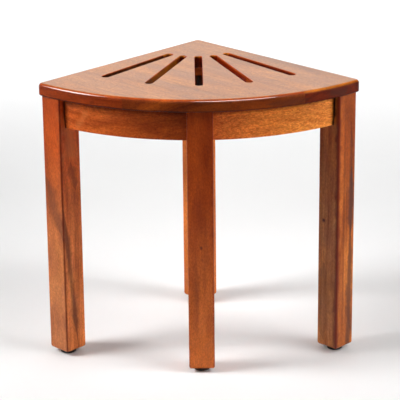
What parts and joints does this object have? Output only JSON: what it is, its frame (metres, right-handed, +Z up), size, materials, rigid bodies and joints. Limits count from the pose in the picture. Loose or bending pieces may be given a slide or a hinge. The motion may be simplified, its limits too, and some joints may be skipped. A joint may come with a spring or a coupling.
{
  "type": "shower bench",
  "caption": "Quarter-round corner shower bench in oiled hardwood: a fan-slotted, edge-glued seat on square legs, curved front aprons and levelling feet.",
  "frame": {"origin": "on the floor plane, under the middle of the bench's bounding box", "axes": "+Z is up. +Y points to the corner of the room that the bench stands in, and -Y to its curved front. +X points to the right for someone who faces that corner."},
  "size_m": [0.5024, 0.3566, 0.457],
  "materials": {
    "seat_wood": "satin oil",
    "leg_wood": "satin oil",
    "apron_wood": "satin oil",
    "block_wood": "satin oil",
    "dowel_wood": "plain",
    "screw_steel": "satin",
    "black_plastic": "matt",
    "stud_steel": "satin",
    "insert_brass": "satin"
  },
  "bodies": {
    "bench": {"seat_board_right": "seat_wood", "seat_board_middle_right": "seat_wood", "seat_board_middle_left": "seat_wood", "seat_board_left": "seat_wood", "back_leg": "leg_wood", "left_leg": "leg_wood", "right_leg": "leg_wood", "front_leg": "leg_wood", "left_back_apron": "apron_wood", "right_back_apron": "apron_wood", "left_front_apron": "apron_wood", "right_front_apron": "apron_wood", "back_corner_block": "block_wood", "left_corner_block": "block_wood", "right_corner_block": "block_wood", "back_leg_dowels": "dowel_wood", "left_leg_dowels": "dowel_wood", "right_leg_dowels": "dowel_wood", "front_leg_dowels": "dowel_wood", "seat_screws": "screw_steel", "corner_block_screws": "screw_steel", "back_foot_insert": "insert_brass", "left_foot_insert": "insert_brass", "right_foot_insert": "insert_brass", "front_foot_insert": "insert_brass"},
    "back_pad": {"back_foot_pad": "black_plastic"},
    "back_stud": {"back_foot_stud": "stud_steel"},
    "left_pad": {"left_foot_pad": "black_plastic"},
    "left_stud": {"left_foot_stud": "stud_steel"},
    "right_pad": {"right_foot_pad": "black_plastic"},
    "right_stud": {"right_foot_stud": "stud_steel"},
    "front_pad": {"front_foot_pad": "black_plastic"},
    "front_stud": {"front_foot_stud": "stud_steel"}
  },
  "joints": [
    {"name": "back_foot_travel", "type": "slide", "parent": "bench", "child": "back_pad", "axis": [0, 0, -1], "range_m": [-0.00031, 0.01125]},
    {"name": "back_foot_turn", "type": "hinge", "parent": "back_pad", "child": "back_stud", "pos_m": [0, 0.14418, 0.0045], "axis": [0, 0, -1], "range_deg": [-90, 3240]},
    {"name": "left_foot_travel", "type": "slide", "parent": "bench", "child": "left_pad", "axis": [0, 0, -1], "range_m": [-0.00031, 0.01125]},
    {"name": "left_foot_turn", "type": "hinge", "parent": "left_pad", "child": "left_stud", "pos_m": [-0.2185, -0.07432, 0.0045], "axis": [0, 0, -1], "range_deg": [-90, 3240]},
    {"name": "right_foot_travel", "type": "slide", "parent": "bench", "child": "right_pad", "axis": [0, 0, -1], "range_m": [-0.00031, 0.01125]},
    {"name": "right_foot_turn", "type": "hinge", "parent": "right_pad", "child": "right_stud", "pos_m": [0.2185, -0.07432, 0.0045], "axis": [0, 0, -1], "range_deg": [-90, 3240]},
    {"name": "front_foot_travel", "type": "slide", "parent": "bench", "child": "front_pad", "axis": [0, 0, -1], "range_m": [-0.00031, 0.01125]},
    {"name": "front_foot_turn", "type": "hinge", "parent": "front_pad", "child": "front_stud", "pos_m": [0, -0.15084, 0.0045], "axis": [0, 0, -1], "range_deg": [-90, 3240]}
  ],
  "couplings": [
    {"joint": "back_foot_turn", "follows": "back_foot_travel", "rad_per_m": 5026.5},
    {"joint": "left_foot_turn", "follows": "left_foot_travel", "rad_per_m": 5026.5},
    {"joint": "right_foot_turn", "follows": "right_foot_travel", "rad_per_m": 5026.5},
    {"joint": "front_foot_turn", "follows": "front_foot_travel", "rad_per_m": 5026.5}
  ]
}
